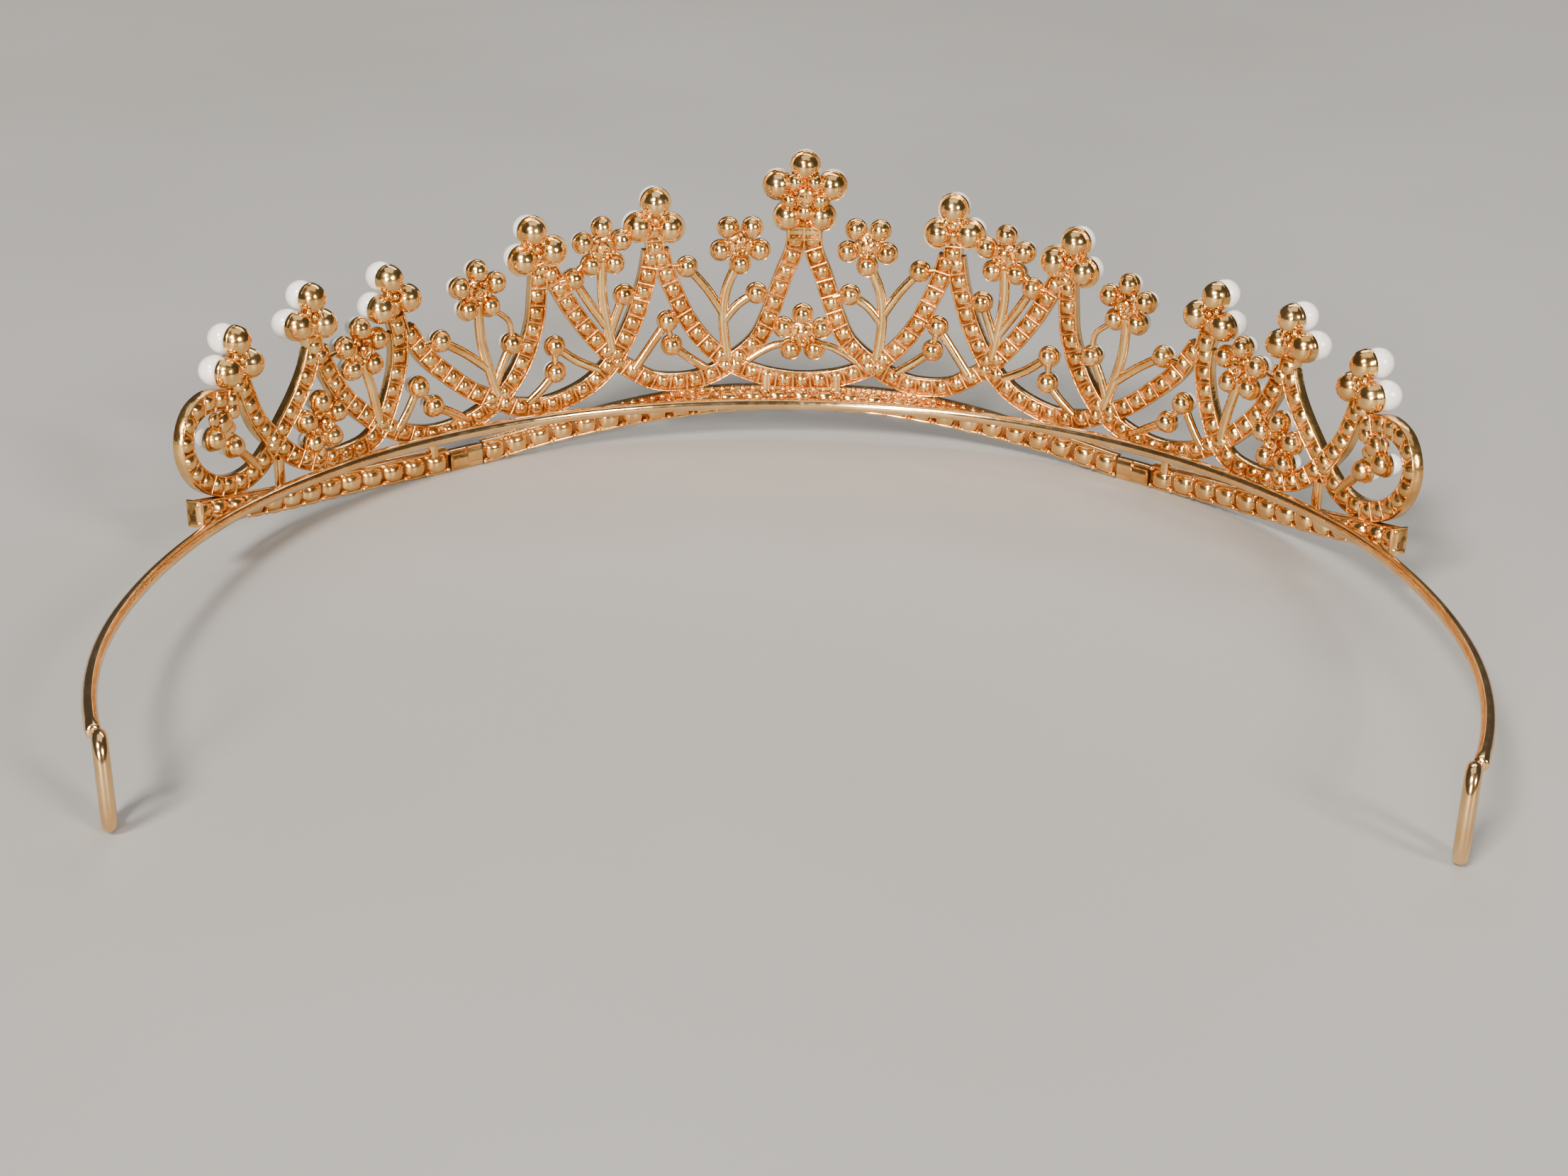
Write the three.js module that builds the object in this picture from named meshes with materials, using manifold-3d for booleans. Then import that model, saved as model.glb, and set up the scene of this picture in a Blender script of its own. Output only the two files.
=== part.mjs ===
// Pearl tiara on a springy wire headband, standing on a table as it is put down after wearing.
//
// Row frame, millimetres: +Z up, the table is z = 0, the front of the tiara faces -Y and the
// wearer's left is +X.  The finished group is centred on its footprint.
//
// Everything but the wire lies on one upright cylinder, so it is drawn in a flat pattern and then
// bent.  A flat pattern point is [along, up]: arc length from the middle and height above the
// table.  Depth is measured from the cylinder outwards: pearls in front (+), cup backs behind (-).
import * as THREE from 'three';
import { mergeVertices } from 'three/addons/utils/BufferGeometryUtils.js';
import Module from 'manifold-3d';

const wasm = await Module();
wasm.setup();

// ---- driving dimensions -------------------------------------------------------------------
const FRIEZE_RADIUS = 78.5;
const GAP = 0.3;

const STRIP_WIDTH = 2.7;
const STRIP_BACK = -0.65;
const STRIP_FRONT = 1.05;
const STEM_WIDTH = 1.4;
const STEM_DEPTH = 1.0;
const CURVE_STEP = 3.2;
const FACET_TOLERANCE = 0.12;

const PEARL_RADIUS = 2.15;
const PEARL_OFFSET = 1.7;
const CUP_RADIUS = 2.05;
const CUP_FRONT = -0.1;
const CUP_PITCH = 4.25;
const CUP_SPREAD = 32;
const NECK_BACK = -1.3;
const NECK_FRONT = -0.1;

const SMALL_CUP_RADIUS = 1.6;
const SMALL_CUP_FRONT = 0.5;
const BLOSSOM_RADIUS = 2.95;

const RAIL_HEIGHT = 3.4;
const RAIL_DEPTH = 2.3;
const RAIL_END = 101.6;
const RAIL_STEP = 4.5;
const JOINT_PLATE = { from: 48.6, to: 54.0 };

const WIRE_RADIUS = 0.85;
const WIRE_INSET = 2.3;
const WIRE_BASE = 4.8;
const WIRE_SLOPE = 0.05;
const WIRE_LIFT = { height: 0.65, fades: 42 };
const HINGE_ANGLE = 78;
const ARM_RADII = [110, 85];
const ARM_LENGTH = 54.9;
const ARM_SEAM = 0.15;

const LOOP = { radius: 0.85, height: 11.6, width: 5.6, turn: 19, along: 118.8, across: 69.7 };

const GOLD = { color: 0xd9a566, roughness: 0.22, metalness: 1 };
const WIRE_GOLD = { color: 0xcf9a5e, roughness: 0.16, metalness: 1 };
const PEARL = { color: 0xf4efe6, roughness: 0.25, metalness: 0 };

// Lower edge of the base rail: [along, up].  It arches up in the middle, touches the table at the
// two joint plates, and rises again to its ends.
const RAIL_LINE = [
  [0, 3.95], [10, 3.65], [20, 2.85], [35, 1.4], [48, 0], [56, 0], [72, 1.3], [86, 3.4], [104, 8.2],
];

// Garlands, from one peak down to the rail and up to the next peak but one: [along, up].
const GARLAND_CENTRE = [
  [20.8, 28.2], [20.0, 25.4], [18.7, 22.2], [17.2, 18.8], [15.4, 15.9], [13.2, 13.3],
  [10.6, 11.2], [8.0, 9.9], [5.0, 8.9], [2.0, 8.4], [0, 8.3],
];
const GARLANDS = [
  [[1.25, 30.4], [2.2, 27.1], [3.4, 22.7], [4.9, 18.3], [6.8, 14.4], [10.4, 11.3], [13.4, 9.6], [17.0, 8.7],
    [21.4, 9.0], [24.6, 10.5], [27.8, 12.9], [31.2, 17.0], [34.0, 21.1], [36.3, 25.4], [37.2, 27.0]],
  [[22.1, 28.2], [22.6, 25.1], [23.5, 21.9], [24.7, 18.5], [26.4, 15.0], [28.2, 12.2], [31.0, 9.5],
    [34.4, 7.8], [38.4, 6.9], [42.4, 7.4], [45.6, 8.9], [49.4, 11.0], [53.0, 14.0], [56.6, 17.6], [59.6, 22.2]],
  [[38.8, 26.8], [39.0, 23.4], [39.5, 19.6], [41.0, 15.2], [43.2, 11.4], [46.2, 8.5], [50.6, 6.5], [55.2, 5.9],
    [60.0, 7.0], [64.4, 9.4], [68.0, 12.5], [71.0, 15.9], [73.2, 19.9], [74.2, 22.6]],
  [[61.1, 22.0], [61.0, 19.3], [61.6, 16.2], [62.8, 12.9], [64.5, 9.6], [67.0, 7.6], [70.6, 7.0], [74.6, 7.3],
    [78.4, 8.5], [81.4, 10.6], [84.0, 13.4], [86.4, 16.4], [87.8, 19.4], [88.8, 22.4]],
];
const SCROLL = [
  [75.4, 22.9], [76.3, 20.9], [77.6, 18.8], [79.4, 16.6], [81.6, 14.4], [84.2, 12.0], [87.2, 10.2],
  [91.0, 9.6], [95.2, 10.6], [98.9, 12.9], [101.2, 15.9], [101.7, 18.9], [99.9, 21.5], [96.4, 22.3], [92.8, 21.5],
  [90.6, 20.7],
];

// Peaks with three pearls: place of the top cup, and how far the group leans outwards.
const CRESTS = [
  { top: [21.4, 35.6], lean: 4, foot: [21.5, 28.7] },
  { top: [39.6, 33.0], lean: -11, foot: [38.2, 27.4] },
  { top: [62.2, 30.0], lean: -9, foot: [60.4, 22.7] },
  { top: [75.4, 30.4], lean: 9, foot: [74.9, 23.4] },
  { top: [89.9, 28.6], lean: 1, foot: [89.4, 22.8] },
];
const CENTRE_CREST = { middle: [0, 36.55], foot: [0, 29.9], petals: 4.05, pearl: 2.0 };

// Sprigs between the peaks: a stem with one blossom and up to two side buds.
const SPRIGS = [
  { blossom: [9.2, 29.2], turn: -90, stem: [[11.0, 13.2], [11.6, 17.5], [11.3, 22.0], [9.9, 25.6]],
    twigs: [[[11.6, 18.8], [14.0, 22.6], [16.9, 26.0]], [[11.6, 17.6], [9.4, 20.2], [6.8, 21.8]]] },
  { blossom: [29.3, 29.6], turn: 90, stem: [[28.0, 15.0], [28.8, 18.6], [29.4, 23.0], [29.3, 28.0]],
    twigs: [[[28.8, 17.8], [31.2, 21.4], [33.6, 25.4]], [[28.4, 16.6], [27.4, 19.4], [26.2, 22.4]]] },
  { blossom: [48.2, 25.6], turn: 90, stem: [[45.6, 10.8], [47.0, 14.4], [48.0, 18.8], [48.2, 24.0]],
    twigs: [[[47.2, 14.2], [50.6, 17.0], [54.4, 19.5]], [[45.8, 11.6], [44.8, 14.2], [43.3, 17.2]]] },
  { blossom: [67.4, 21.2], turn: 90, stem: [[65.0, 11.2], [65.8, 14.6], [67.2, 19.6]], twigs: [] },
];

// Pairs of buds inside the peaks, joined to each other and rising from the garlands below.
const TWIGS = [
  [[[24.6, 11.6], [22.2, 14.6], [19.8, 18.0]], [[14.0, 10.8], [16.6, 12.2], [19.2, 14.3]]],
  [[[30.0, 12.0], [33.4, 13.2], [36.7, 15.8]], [[41.0, 8.2], [38.8, 9.6], [36.7, 11.9]]],
  [[[62.2, 8.2], [60.2, 10.4], [58.3, 13.6]], [[50.4, 7.2], [53.0, 8.6], [56.0, 10.3]]],
];
const CENTRE_BLOSSOM = { middle: [0, 15.7], arch: [[8.0, 11.6], [5.6, 13.1], [3.0, 14.0]] };
const SIDE_BLOSSOM = [75.1, 12.9];
const SCROLL_BUDS = { buds: [[96.2, 17.6], [92.0, 15.0], [93.2, 18.9]], stalk: [[90.8, 14.2], [89.0, 12.6], [87.8, 10.6]] };

// Short posts that carry the base rail below the garlands.
const POSTS = [{ along: 56.4, from: 2.4, to: 4.6 }, { along: 83.4, from: 5.4, to: 10.4 }];

// ---- flat pattern tools -------------------------------------------------------------------
// Bends [along, up, depth] onto the frieze cylinder.
const bend = (geometry) => {
  const position = geometry.attributes.position;
  for (let i = 0; i < position.count; i += 1) {
    const angle = position.getX(i) / FRIEZE_RADIUS;
    const radius = FRIEZE_RADIUS + position.getZ(i);
    const up = position.getY(i);
    position.setXYZ(i, radius * Math.sin(angle), FRIEZE_RADIUS - radius * Math.cos(angle), up);
  }
  return geometry;
};

const solidOf = (flatGeometry) => {
  const bare = bend(flatGeometry.clone());
  bare.deleteAttribute('normal');
  bare.deleteAttribute('uv');
  const merged = mergeVertices(bare, 1e-4);
  return new wasm.Manifold(new wasm.Mesh({
    numProp: 3,
    vertProperties: new Float32Array(merged.attributes.position.array),
    triVerts: new Uint32Array(merged.index.array),
  }));
};

const joined = (solids) => solids.reduce((sum, next) => sum.add(next));
const cutBy = (piece, cutters) => cutters.reduce((rest, cutter) => rest.subtract(cutter), piece);

// A cut can leave slivers behind: only the main body of the piece is kept.
const mainBody = (piece) => piece.decompose().sort((a, b) => b.volume() - a.volume())[0];

// A bar through four-cornered sections, each going round from the upper back corner.
const bar = (sections) => {
  const index = [];
  const quad = (a, b, c, d) => index.push(a, b, c, a, c, d);
  for (let i = 0; i + 1 < sections.length; i += 1) {
    for (let k = 0; k < 4; k += 1) {
      const next = (k + 1) % 4;
      quad(4 * i + k, 4 * (i + 1) + k, 4 * (i + 1) + next, 4 * i + next);
    }
  }
  const last = 4 * (sections.length - 1);
  quad(0, 1, 2, 3);
  quad(last + 3, last + 2, last + 1, last);
  const geometry = new THREE.BufferGeometry();
  geometry.setAttribute('position', new THREE.Float32BufferAttribute(sections.flat(2), 3));
  geometry.setIndex(index);
  return solidOf(geometry);
};

// A strip that follows a smooth line through the points, with square ends.
const strip = (points, width, back, front) => {
  const line = new THREE.SplineCurve(points.map(([along, up]) => new THREE.Vector2(along, up)));
  const steps = Math.max(2, Math.round(line.getLength() / CURVE_STEP));
  return bar(line.getSpacedPoints(steps).map((point, i, all) => {
    const before = all[Math.max(0, i - 1)];
    const after = all[Math.min(steps, i + 1)];
    const { x, y } = after.clone().sub(before).normalize().multiplyScalar(width / 2);
    const left = [point.x - y, point.y + x];
    const right = [point.x + y, point.y - x];
    return [[...left, back], [...right, back], [...right, front], [...left, front]];
  }));
};

const block = (from, to, back, front) => bar([from[0], to[0]].map((along) => (
  [[along, to[1], back], [along, from[1], back], [along, from[1], front], [along, to[1], front]])));

// A turned piece whose axis points out of the cylinder; the profile is [radius, depth] and the
// first corner points in the direction `turn`.
const turned = (profile, sides, [along, up], turn = 0) => {
  const lathe = new THREE.LatheGeometry(profile.map(([r, depth]) => new THREE.Vector2(r, depth)), sides);
  lathe.rotateX(Math.PI / 2);
  lathe.rotateZ(THREE.MathUtils.degToRad(turn + 90));
  return solidOf(lathe.translate(along, up, 0));
};

const onCircle = (radius, degrees) => {
  const angle = THREE.MathUtils.degToRad(degrees);
  return [radius * Math.cos(angle), radius * Math.sin(angle)];
};

// ---- ornaments in the flat pattern ---------------------------------------------------------
// Big cup: a round back that carries one pearl in front.
const bigCup = (place, grow = 0) => {
  const r = CUP_RADIUS + grow;
  const front = CUP_FRONT + grow;
  return turned([[0, -r], onCircle(r, -40), [r, front], [0, front]], 10, place);
};

const smallCup = (place, grow = 0, turn = 0) => {
  const r = SMALL_CUP_RADIUS + grow;
  const front = SMALL_CUP_FRONT + grow;
  return turned([[0, -r], onCircle(r, -35), [r, front], [0, front]], 6, place, turn);
};

// The flat disc that ties a group of cups together.
const web = (place, radius, back, front, sides, turn = 0) => (
  turned([[0, back], [radius, back], [radius, front], [0, front]], sides, place, turn));

// A pearl with its corners towards its neighbours, so that pearls in a group touch.
const pearl = ([along, up], turn, sides, radius) => {
  const ball = new THREE.SphereGeometry(radius, sides, 4);
  ball.rotateX(Math.PI / 2);
  ball.rotateZ(THREE.MathUtils.degToRad(turn));
  return solidOf(ball.translate(along, up, PEARL_OFFSET));
};

const stemHalf = STEM_DEPTH / 2;
const garlandStrip = (points, grow = 0) => (
  strip(points, STRIP_WIDTH + 2 * grow, STRIP_BACK - grow, STRIP_FRONT + grow));
const stem = (points, grow = 0) => strip(points, STEM_WIDTH + 2 * grow, -stemHalf - grow, stemHalf + grow);

const petalPlaces = ([along, up], radius, turn) => [0, 1, 2, 3, 4].map((i) => {
  const [dx, dy] = onCircle(radius, turn + 72 * i);
  return [along + dx, up + dy];
});

const blossom = (middle, turn, grow = 0) => joined([
  web(middle, BLOSSOM_RADIUS - SMALL_CUP_RADIUS + 0.4 + grow, -stemHalf - grow, stemHalf + grow, 5, turn),
  ...petalPlaces(middle, BLOSSOM_RADIUS, turn).map((place, i) => smallCup(place, grow, turn + 72 * i + 180)),
]);

// The three cups of a crest: one on top and two below it, leaning with the group.
const crestPlaces = ({ top, lean }) => [-CUP_SPREAD, CUP_SPREAD].reduce((places, side) => {
  const [dx, dy] = onCircle(CUP_PITCH, -90 + lean + side);
  return [...places, [top[0] + dx, top[1] + dy]];
}, [top]);

const neckWeb = (middle, radius, grow, sides, turn) => (
  web(middle, radius + grow, NECK_BACK - grow, NECK_FRONT + grow, sides, turn));

const crestMetal = (spec, grow = 0) => {
  const places = crestPlaces(spec);
  const middle = [0, 1].map((axis) => (places[0][axis] + places[1][axis] + places[2][axis]) / 3);
  return joined([
    ...places.map((place) => bigCup(place, grow)),
    neckWeb(middle, CUP_PITCH / 3, grow, 6, spec.lean + 90),
    strip([spec.foot, middle], STRIP_WIDTH + 2 * grow, NECK_BACK - grow, NECK_FRONT + grow),
  ]);
};

const crestPearls = (spec, grow = 0) => (
  joined(crestPlaces(spec).map((place) => pearl(place, spec.lean, 12, PEARL_RADIUS + grow))));

const centrePetals = petalPlaces(CENTRE_CREST.middle, CENTRE_CREST.petals, 90);
const centreMetal = (grow = 0) => {
  const { middle, foot, petals } = CENTRE_CREST;
  const collarHalf = STRIP_WIDTH + 0.1 + grow;
  const collarTop = [collarHalf, middle[1] - petals];
  return joined([
    bigCup(middle, grow),
    ...centrePetals.map((place) => bigCup(place, grow)),
    neckWeb(middle, petals - CUP_RADIUS + 0.6, grow, 5, 90),
    block([-collarHalf, foot[1] - grow], collarTop, NECK_BACK - grow, NECK_FRONT + grow),
  ]);
};

const centrePearls = (grow = 0) => joined([
  pearl(CENTRE_CREST.middle, 90, 10, CENTRE_CREST.pearl + grow),
  ...centrePetals.map((place, i) => pearl(place, 90 + 72 * i, 10, PEARL_RADIUS + grow)),
]);

const sprig = ({ blossom: middle, turn, stem: line, twigs }, grow = 0) => joined([
  blossom(middle, turn, grow),
  stem(line, grow),
  ...twigs.map((twig) => stem(twig, grow)),
  ...twigs.map((twig) => smallCup(twig[twig.length - 1], grow)),
]);

const twigPair = ([first, second], grow = 0) => {
  const ends = [first[first.length - 1], second[second.length - 1]];
  return joined([
    stem(first, grow),
    stem(second, grow),
    stem(ends, grow),
    ...ends.map((place) => smallCup(place, grow)),
  ]);
};

// ---- base rail -----------------------------------------------------------------------------
const railCurve = new THREE.SplineCurve(RAIL_LINE.map(([along, up]) => new THREE.Vector2(along, up)));
const railSamples = railCurve.getSpacedPoints(400);
const railFloor = (along) => {
  const target = Math.abs(along);
  const i = Math.max(1, railSamples.findIndex((point) => point.x >= target));
  const [low, high] = [railSamples[i - 1], railSamples[i]];
  return Math.max(0, low.y + ((high.y - low.y) * (target - low.x)) / (high.x - low.x));
};

const railPiece = (from, to, grow = 0) => {
  const count = Math.max(1, Math.round((to - from) / RAIL_STEP));
  const half = RAIL_DEPTH / 2 + grow;
  return bar(Array.from({ length: count + 1 }, (_, i) => {
    const along = from + ((to - from) * i) / count;
    const low = railFloor(along) - grow;
    const high = railFloor(along) + RAIL_HEIGHT + grow;
    return [[along, high, -half], [along, low, -half], [along, low, half], [along, high, half]];
  }));
};

// ---- naming --------------------------------------------------------------------------------
const group = new THREE.Group();

const addMesh = (name, geometry, finish) => {
  const mesh = new THREE.Mesh(geometry, new THREE.MeshStandardMaterial(finish));
  mesh.name = name;
  group.add(mesh);
};

const addSolid = (name, piece, finish) => {
  const { vertProperties, triVerts } = piece.simplify(FACET_TOLERANCE).getMesh();
  const geometry = new THREE.BufferGeometry();
  geometry.setAttribute('position', new THREE.BufferAttribute(vertProperties, 3));
  geometry.setIndex(new THREE.BufferAttribute(triVerts, 1));
  addMesh(name, geometry, finish);
};

const addPair = (name, piece, finish) => {
  addSolid(`${name}_left`, piece, finish);
  addSolid(`${name}_right`, piece.mirror([1, 0, 0]), finish);
};

// ---- frieze --------------------------------------------------------------------------------
const mirrored = (points) => points.map(([along, up]) => [-along, up]);
const wholeCentreGarland = [...GARLAND_CENTRE, ...mirrored(GARLAND_CENTRE).reverse().slice(1)];

// Garlands next to each other cross in halved joints: the even ones keep the front half there and
// the odd ones the back half.
const lap = GAP / 2;
const farOut = 3;
const crossing = (points, keepsFront) => {
  const width = STRIP_WIDTH + 2 * GAP;
  return keepsFront ? strip(points, width, -farOut, lap) : strip(points, width, -lap, farOut);
};
const garlandLines = [wholeCentreGarland, ...GARLANDS, SCROLL];
const crestSpecs = [CENTRE_CREST, ...CRESTS];

// Ends that meet below a crest stop on either side of the crest's own centre line.
const besideFoot = ([along, up], side) => {
  const reach = 6;
  const edge = along + side * lap;
  const from = side > 0 ? edge - reach : edge;
  return block([from, up - reach], [from + reach, up + reach], -farOut, farOut);
};

// Everything in a crest, grown, as the space that its neighbours keep clear of.
const crestRoom = (spec) => joined([crestMetal(spec, GAP), crestPearls(spec, GAP)]);
const centreRoom = joined([centreMetal(GAP), centrePearls(GAP)]);
const railGrown = railPiece(-20, RAIL_END, GAP);

const garland = (k) => {
  const keepsFront = k % 2 === 0;
  const cutters = [railGrown, crossing(garlandLines[k + 1] ?? [[120, 60], [124, 60]], keepsFront)];
  if (k > 0) {
    cutters.push(crossing(garlandLines[k - 1], keepsFront));
    cutters.push(k === 1 ? centreRoom : crestRoom(crestSpecs[k - 1]));
    cutters.push(besideFoot(crestSpecs[k - 1].foot, 1));
  }
  if (k < 5) {
    cutters.push(crestRoom(crestSpecs[k + 1]));
    cutters.push(besideFoot(crestSpecs[k + 1].foot, -1));
  }
  return mainBody(cutBy(garlandStrip(garlandLines[k]), cutters));
};

const centreGarland = () => {
  const width = STRIP_WIDTH + 2 * GAP;
  const sides = [1, -1].flatMap((side) => {
    const flip = (points) => points.map(([along, up]) => [side * along, up]);
    const foot = [side * crestSpecs[1].foot[0], crestSpecs[1].foot[1]];
    const spec = { top: flip([CRESTS[0].top])[0], lean: side * CRESTS[0].lean, foot };
    return [strip(flip(GARLANDS[0]), width, -farOut, lap), crestRoom(spec), besideFoot(foot, -side)];
  });
  return mainBody(cutBy(garlandStrip(wholeCentreGarland), [railPiece(-30, 30, GAP), ...sides]));
};

addSolid('garland_0', centreGarland(), GOLD);
const garlands = [1, 2, 3, 4].map(garland);
garlands.forEach((piece, i) => addPair(`garland_${i + 1}`, piece, GOLD));

const scrollBuds = (grow = 0) => {
  const { buds, stalk } = SCROLL_BUDS;
  return joined([
    ...buds.map((place) => smallCup(place, grow)),
    stem([buds[0], buds[2], buds[1], ...stalk], grow),
  ]);
};
const scroll = mainBody(joined([garland(5), cutBy(scrollBuds(), [railGrown])]));
addPair('scroll', scroll, GOLD);

// ---- crests and pearls ---------------------------------------------------------------------
// Each cup is hollowed to seat its pearl.
addSolid('crest_0', mainBody(centreMetal().subtract(centrePearls(GAP))), GOLD);
addSolid('crest_pearls_0', centrePearls(), PEARL);
const scrollLine = garlandStrip(SCROLL, GAP);
CRESTS.forEach((spec, i) => {
  const cutters = i === 4 ? [crestPearls(spec, GAP), scrollLine] : [crestPearls(spec, GAP)];
  addPair(`crest_${i + 1}`, mainBody(cutBy(crestMetal(spec), cutters)), GOLD);
  addPair(`crest_pearls_${i + 1}`, crestPearls(spec), PEARL);
});

// ---- sprigs, twigs and blossoms ------------------------------------------------------------
const frieze = [...garlandLines.map((line) => garlandStrip(line, GAP)), railGrown, centreRoom,
  ...CRESTS.map(crestRoom)];

SPRIGS.forEach((spec, i) => addPair(`sprig_${i + 1}`, mainBody(cutBy(sprig(spec), frieze)), GOLD));

const sprigsGrown = SPRIGS.map((spec) => sprig(spec, GAP));
TWIGS.forEach((spec, i) => {
  addPair(`twig_${i + 1}`, mainBody(cutBy(twigPair(spec), [...frieze, ...sprigsGrown])), GOLD);
});

const { middle: centreMiddle, arch } = CENTRE_BLOSSOM;
const archLine = [...arch, ...mirrored(arch).reverse()];
const bothLegs = [GARLANDS[0], mirrored(GARLANDS[0])].map((line) => garlandStrip(line, GAP));
const centreBlossom = joined([blossom(centreMiddle, 90), strip(archLine, 1.3, -stemHalf, stemHalf)]);
const blossomCutters = [...bothLegs, garlandStrip(wholeCentreGarland, GAP)];
addSolid('centre_blossom', mainBody(cutBy(centreBlossom, blossomCutters)), GOLD);

const sideBlossom = joined([blossom(SIDE_BLOSSOM, 90), stem([[75.2, 11.2], [75.4, 8.6], [75.5, 7.0]])]);
addPair('side_blossom', mainBody(cutBy(sideBlossom, frieze)), GOLD);

// ---- base rail pieces ----------------------------------------------------------------------
const plateGap = GAP / 2;
const centreEnd = JOINT_PLATE.from - plateGap;
addSolid('base_rail_centre', railPiece(-centreEnd, centreEnd), GOLD);
const plate = railPiece(JOINT_PLATE.from + plateGap, JOINT_PLATE.to - plateGap);
addPair('rail_joint', plate, GOLD);
const posts = joined(POSTS.map(({ along, from, to }) => (
  block([along - 0.55, from], [along + 0.55, to], -stemHalf, stemHalf))));
const postCutters = [...GARLANDS.slice(1), SCROLL].map((line) => garlandStrip(line, GAP));
const sideRail = joined([railPiece(JOINT_PLATE.to + plateGap, RAIL_END), cutBy(posts, postCutters)]);
addPair('base_rail', mainBody(sideRail), GOLD);

// ---- headband wire -------------------------------------------------------------------------
// The wire follows the inside of the frieze, then runs on in two straighter arms.
const wireRadius = FRIEZE_RADIUS - WIRE_INSET;
const wirePoint = (x, y) => {
  const lift = (WIRE_LIFT.height * (1 + Math.cos(Math.PI * Math.min(1, y / WIRE_LIFT.fades)))) / 2;
  return new THREE.Vector3(x, y, WIRE_BASE + WIRE_SLOPE * y + lift);
};

const arcPoint = (degrees) => {
  const angle = THREE.MathUtils.degToRad(degrees);
  return wirePoint(wireRadius * Math.sin(angle), FRIEZE_RADIUS - wireRadius * Math.cos(angle));
};

// Each arm first finishes the turn of the band on a wider curve, then bends inwards.
const armPoint = (distance, side) => {
  const start = THREE.MathUtils.degToRad(HINGE_ANGLE);
  const [first, second] = ARM_RADII;
  const firstLength = (Math.PI / 2 - start) * first;
  const from = arcPoint(HINGE_ANGLE);
  const centreX = from.x - first * Math.sin(start);
  const centreY = from.y + first * Math.cos(start);
  if (distance < firstLength) {
    const angle = start + distance / first;
    return wirePoint(side * (centreX + first * Math.sin(angle)), centreY - first * Math.cos(angle));
  }
  const turn = (distance - firstLength) / second;
  return wirePoint(side * (centreX + first - second * (1 - Math.cos(turn))), centreY + second * Math.sin(turn));
};

const roundBar = (points, radius, sides, closed = false) => {
  const circle = new THREE.Shape(
    Array.from({ length: sides }, (_, i) => new THREE.Vector2(...onCircle(radius, (360 * i) / sides))));
  const path = new THREE.CatmullRomCurve3(points, closed);
  const steps = closed ? 16 : Math.round(path.getLength() / 6);
  const bar = new THREE.ExtrudeGeometry(circle, { steps, extrudePath: path, bevelEnabled: false });
  bar.deleteAttribute('normal');
  bar.deleteAttribute('uv');
  return mergeVertices(bar, 1e-4);
};

const seamDegrees = THREE.MathUtils.radToDeg(ARM_SEAM / wireRadius);
const bandHalf = HINGE_ANGLE - seamDegrees;
const bandPoints = Array.from({ length: 41 }, (_, i) => arcPoint(-bandHalf + (2 * bandHalf * i) / 40));
addMesh('headband_wire', roundBar(bandPoints, WIRE_RADIUS, 8), WIRE_GOLD);

const armPoints = (side) => Array.from({ length: 15 }, (_, i) => (
  armPoint(ARM_SEAM + ((ARM_LENGTH - ARM_SEAM) * i) / 14, side)));

// The loop hangs upright just beyond the end of the arm: an oval of the same wire.
const loopPoints = (side) => {
  const halfWidth = LOOP.width / 2 - LOOP.radius;
  const halfHeight = LOOP.height / 2 - LOOP.radius;
  const turn = THREE.MathUtils.degToRad(LOOP.turn);
  const rounded = (value) => Math.sign(value) * Math.abs(value) ** 0.8;
  return Array.from({ length: 20 }, (_, i) => {
    const [c, s] = onCircle(1, i * 18);
    const out = halfWidth * rounded(c);
    const x = side * (LOOP.across - out * Math.sin(turn));
    return new THREE.Vector3(x, LOOP.along + out * Math.cos(turn), LOOP.height / 2 + halfHeight * rounded(s));
  });
};

for (const [name, side] of [['left', 1], ['right', -1]]) {
  addMesh(`headband_arm_${name}`, roundBar(armPoints(side), WIRE_RADIUS, 8), WIRE_GOLD);
  addMesh(`pin_loop_${name}`, roundBar(loopPoints(side), LOOP.radius, 8, true), WIRE_GOLD);
}

// ---- origin: the middle of the footprint, on the table ---------------------------------------
const box = new THREE.Box3().setFromObject(group);
const centre = box.getCenter(new THREE.Vector3());
group.position.set(-centre.x, -centre.y, -box.min.z);

export default group;
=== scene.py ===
"""Looks of the pearl tiara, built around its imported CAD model.

Everything but the headband is drawn in the same flat pattern as the CAD model, in millimetres:
(along, up, depth), with along measured round the frieze from its middle, up from the table, and
depth outwards.  bend() turns it into metres in the row frame.  The side seen here is the back, so
gold cups show their round backs and pearls show only past the edges of the cups.
"""

import math

import bmesh
import bpy
from mathutils import Matrix, Vector


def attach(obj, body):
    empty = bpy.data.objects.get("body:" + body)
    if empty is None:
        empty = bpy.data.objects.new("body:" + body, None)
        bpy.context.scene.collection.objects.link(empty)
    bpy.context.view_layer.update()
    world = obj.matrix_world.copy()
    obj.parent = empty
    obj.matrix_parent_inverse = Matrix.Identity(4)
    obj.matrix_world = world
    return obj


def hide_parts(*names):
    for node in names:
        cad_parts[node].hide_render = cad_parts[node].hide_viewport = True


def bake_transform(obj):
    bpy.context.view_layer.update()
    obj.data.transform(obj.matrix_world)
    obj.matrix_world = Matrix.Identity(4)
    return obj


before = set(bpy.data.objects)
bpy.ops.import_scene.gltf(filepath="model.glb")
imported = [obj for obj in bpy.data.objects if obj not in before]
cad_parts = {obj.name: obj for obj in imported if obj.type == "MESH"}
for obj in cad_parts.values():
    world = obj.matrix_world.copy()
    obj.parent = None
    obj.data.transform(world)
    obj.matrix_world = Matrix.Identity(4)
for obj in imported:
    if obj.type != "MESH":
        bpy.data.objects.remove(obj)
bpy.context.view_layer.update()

# ---- dimensions shared with the CAD model, in millimetres ----------------------------------------
MM = 0.001
FRIEZE_RADIUS = 78.5
CENTRE_SHIFT = 58.822
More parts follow.
